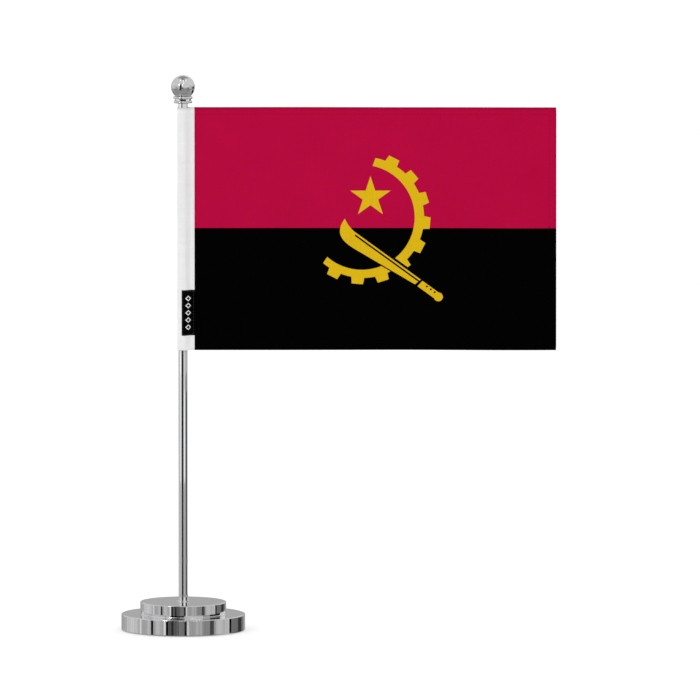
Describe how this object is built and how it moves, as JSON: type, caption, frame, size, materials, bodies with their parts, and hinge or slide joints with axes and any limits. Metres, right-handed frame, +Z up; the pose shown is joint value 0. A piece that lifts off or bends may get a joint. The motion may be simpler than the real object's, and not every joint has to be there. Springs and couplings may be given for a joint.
{
  "type": "desk flag stand",
  "caption": "Table flag on a straight polished pole with a two-tier disc base, spool collar and ball finial; the cloth turns and slides on the pole.",
  "frame": {"origin": "centre of the base pad's underside, on the pole's axis, where the stand rests on the desk", "axes": "+Z up along the pole, +X along the flag from the pole to its free edge, -Y the side the label faces"},
  "size_m": [0.2527, 0.072, 0.3242],
  "materials": {
    "base_chrome": "polished",
    "pole_chrome": "polished",
    "finial_chrome": "polished",
    "zinc_steel": "satin",
    "insert_brass": "satin",
    "pad_foam": "matte",
    "sleeve_cloth": "matte",
    "white_thread": "matte",
    "printed_cloth": "satin",
    "black_printed_cloth": "satin",
    "flag_thread": "matte",
    "label_weave": "matte",
    "label_thread": "matte"
  },
  "bodies": {
    "stand": {"base_lower_disc": "base_chrome", "base_upper_disc": "base_chrome", "base_pad": "pad_foam", "base_screw": "zinc_steel", "base_lock_washer": "zinc_steel", "base_flat_washer": "zinc_steel", "pole_tube": "pole_chrome", "pole_foot_insert": "insert_brass", "pole_top_insert": "insert_brass"},
    "sleeve": {"pole_sleeve": "sleeve_cloth"},
    "flag": {"sleeve_seam": "sleeve_cloth", "sleeve_stitching": "white_thread", "flag_panel": "printed_cloth", "top_hem": "printed_cloth", "bottom_hem": "black_printed_cloth", "fly_hem": "printed_cloth", "hem_stitching": "flag_thread", "label": "label_weave", "label_stitching": "label_thread"},
    "collar": {"finial_collar": "finial_chrome"},
    "ball": {"finial_ball": "finial_chrome", "finial_stud": "zinc_steel"}
  },
  "joints": [
    {"name": "flag_slide", "type": "slide", "parent": "stand", "child": "sleeve", "axis": [0, 0, 1], "range_m": [-0.1462, 0.0025]},
    {"name": "flag_swivel", "type": "hinge", "parent": "sleeve", "child": "flag", "pos_m": [0, 0, 0.2346], "axis": [0, 0, 1], "continuous": true},
    {"name": "finial_rise", "type": "slide", "parent": "stand", "child": "collar", "axis": [0, 0, 1], "range_m": [0, 0.0091]},
    {"name": "finial_unscrew", "type": "hinge", "parent": "collar", "child": "ball", "pos_m": [0, 0, 0.3173], "axis": [0, 0, 1], "range_deg": [0, 6480]}
  ],
  "couplings": [
    {"joint": "finial_rise", "follows": "finial_unscrew", "m_per_rad": 0.000079577}
  ]
}
